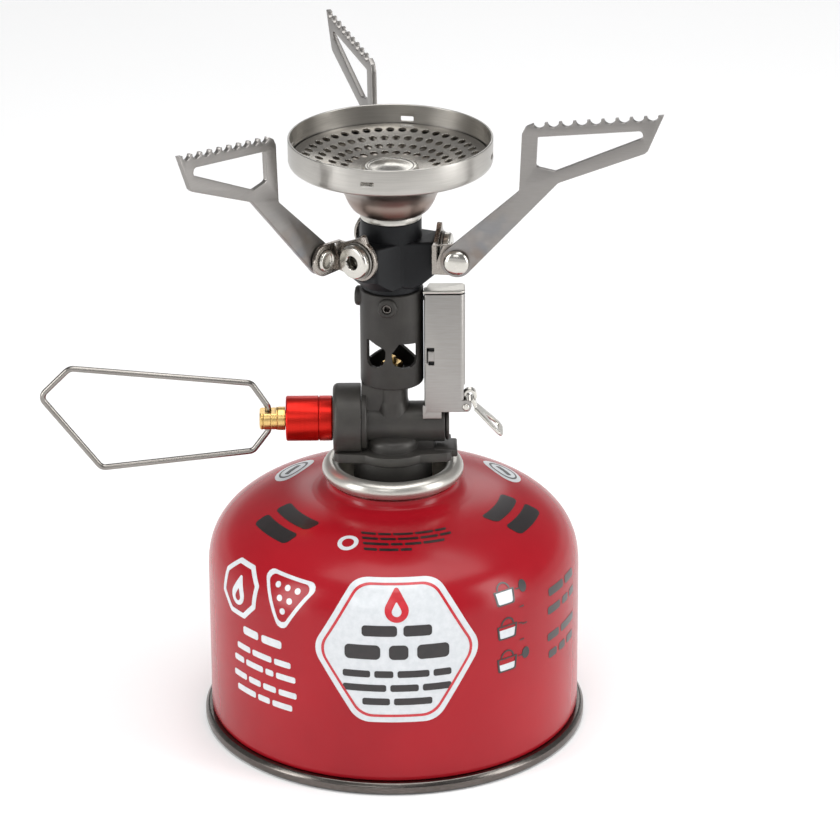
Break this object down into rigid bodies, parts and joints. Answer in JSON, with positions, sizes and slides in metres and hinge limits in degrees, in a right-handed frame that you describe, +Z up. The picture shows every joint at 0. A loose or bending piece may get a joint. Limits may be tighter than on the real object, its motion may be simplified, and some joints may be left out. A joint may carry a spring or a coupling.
{
  "type": "canister stove",
  "caption": "Screw-on gas burner with three folding pot supports, needle control with wire handle and piezo igniter, standing on its round fuel canister.",
  "frame": {"origin": "centre of the canister's recessed flat base panel, 3 mm above the surface it stands on", "axes": "+Z up along the burner axis, X along the valve axis with the wire handle towards -X and the igniter on the +X side"},
  "size_m": [0.1419, 0.1066, 0.1546],
  "materials": {
    "red_enamel": "gloss enamel",
    "bare_steel": "bright",
    "brushed_steel": "fine brushed",
    "grey_steel": "dull",
    "black_anodised": "satin dark anodised",
    "head_black": "satin black anodised",
    "red_anodised": "bright anodised",
    "brass": "turned",
    "black_rubber": "matt",
    "black_plastic": "matt",
    "ceramic": "glazed ceramic"
  },
  "bodies": {
    "canister": {"canister_shell": "red_enamel", "canister_base": "grey_steel", "valve_cup": "bare_steel", "canister_valve_housing": "black_plastic", "canister_valve_gasket": "black_rubber", "canister_valve_spring": "bare_steel"},
    "canister_valve": {"canister_valve_stem": "brass"},
    "connector_seal": {"connector_o_ring": "black_rubber"},
    "stove": {"valve_body": "black_anodised", "connector_collar": "black_anodised", "depressor_pin": "brass", "barrel_plug": "black_anodised", "regulator_cap": "black_anodised", "regulator_diaphragm": "black_rubber", "regulator_spring": "bare_steel", "pintle_spring": "bare_steel", "gland_nut": "red_anodised", "fuel_jet": "brass", "mixer_tube": "black_anodised", "front_set_screw": "grey_steel", "left_set_screw": "grey_steel", "back_set_screw": "grey_steel", "head_casting": "head_black", "throat_ring": "bare_steel", "burner_bell": "grey_steel", "burner_rim": "bare_steel", "burner_plate": "bare_steel", "burner_cap": "bare_steel", "electrode_insulator": "ceramic", "electrode": "bare_steel", "igniter_housing": "brushed_steel", "igniter_lid": "brushed_steel", "piezo_unit": "black_plastic", "trigger_pin": "bare_steel", "igniter_lead": "black_plastic", "right_pivot_screw": "bare_steel", "right_washer": "grey_steel", "back_pivot_screw": "bare_steel", "back_washer": "grey_steel", "left_pivot_screw": "bare_steel", "left_washer": "grey_steel"},
    "stem_slider": {"spring_seat": "brass", "stem_o_ring": "black_rubber"},
    "control": {"control_stem": "brass"},
    "handle": {"wire_handle": "bare_steel"},
    "pintle": {"regulator_pintle": "brass"},
    "trigger": {"igniter_trigger": "bare_steel"},
    "plunger": {"piezo_plunger": "black_plastic"},
    "right_pivot": {"right_bracket": "bare_steel", "right_rivet": "bare_steel"},
    "right_arm": {"right_support": "brushed_steel"},
    "back_pivot": {"back_bracket": "bare_steel", "back_rivet": "bare_steel"},
    "back_arm": {"back_support": "brushed_steel"},
    "left_pivot": {"left_bracket": "bare_steel", "left_rivet": "bare_steel"},
    "left_arm": {"left_support": "brushed_steel"}
  },
  "joints": [
    {"name": "stove_lift", "type": "slide", "parent": "canister", "child": "connector_seal", "axis": [0, 0, 1], "range_m": [0, 0.00453]},
    {"name": "stove_unscrew", "type": "hinge", "parent": "connector_seal", "child": "stove", "pos_m": [0, 0, 0.06], "axis": [0, 0, 1], "range_deg": [0, 1800]},
    {"name": "canister_valve_press", "type": "slide", "parent": "canister", "child": "canister_valve", "axis": [0, 0, -1], "range_m": [0, 0.0015], "stiffness_N_per_m": 900, "deforming": ["canister_valve_spring"]},
    {"name": "stem_travel", "type": "slide", "parent": "stove", "child": "stem_slider", "axis": [1, 0, 0], "range_m": [0, 0.0015], "deforming": ["regulator_spring"]},
    {"name": "valve_turn", "type": "hinge", "parent": "stem_slider", "child": "control", "pos_m": [-0.02, 0, 0.0722], "axis": [-1, 0, 0], "range_deg": [0, 1080]},
    {"name": "handle_swing", "type": "hinge", "parent": "control", "child": "handle", "pos_m": [-0.0288, 0, 0.0722], "axis": [0, 0, 1], "range_deg": [-90, 90]},
    {"name": "pintle_open", "type": "slide", "parent": "stove", "child": "pintle", "axis": [1, 0, 0], "range_m": [0, 0.000421], "deforming": ["pintle_spring"]},
    {"name": "trigger_press", "type": "hinge", "parent": "stove", "child": "trigger", "pos_m": [0.01696, -0.00215, 0.0766], "axis": [0, 1, 0], "range_deg": [0, 22]},
    {"name": "plunger_travel", "type": "slide", "parent": "stove", "child": "plunger", "axis": [0, 0, 1], "range_m": [0, 0.00205], "stiffness_N_per_m": 60, "springref_m": -0.003},
    {"name": "right_swivel", "type": "hinge", "parent": "stove", "child": "right_pivot", "pos_m": [0.01182, -0.00206, 0.1146], "axis": [0.9851, -0.1719, 0], "range_deg": [-180, 0]},
    {"name": "right_fold", "type": "hinge", "parent": "right_pivot", "child": "right_arm", "pos_m": [0.01477, -0.01019, 0.1146], "axis": [0.1719, 0.9851, 0], "range_deg": [-30, 0]},
    {"name": "back_swivel", "type": "hinge", "parent": "stove", "child": "back_pivot", "pos_m": [-0.00412, 0.01127, 0.1146], "axis": [-0.3437, 0.9391, 0], "range_deg": [-180, 0]},
    {"name": "back_fold", "type": "hinge", "parent": "back_pivot", "child": "back_arm", "pos_m": [0.00144, 0.01788, 0.1146], "axis": [-0.9391, -0.3437, 0], "range_deg": [-30, 0]},
    {"name": "left_swivel", "type": "hinge", "parent": "stove", "child": "left_pivot", "pos_m": [-0.0077, -0.00921, 0.1146], "axis": [-0.6414, -0.7672, 0], "range_deg": [-180, 0]},
    {"name": "left_fold", "type": "hinge", "parent": "left_pivot", "child": "left_arm", "pos_m": [-0.01621, -0.00769, 0.1146], "axis": [0.7672, -0.6414, 0], "range_deg": [-30, 0]}
  ],
  "couplings": [
    {"joint": "stove_unscrew", "follows": "stove_lift", "rad_per_m": 6927.4},
    {"joint": "valve_turn", "follows": "stem_travel", "rad_per_m": 12566},
    {"joint": "pintle_open", "follows": "stem_travel", "ratio": 0.28},
    {"joint": "trigger_press", "follows": "plunger_travel", "rad_per_m": 187.3},
    {"joint": "right_fold", "follows": "right_swivel", "ratio": 0.16661},
    {"joint": "back_fold", "follows": "back_swivel", "ratio": 0.16661},
    {"joint": "left_fold", "follows": "left_swivel", "ratio": 0.16661}
  ]
}
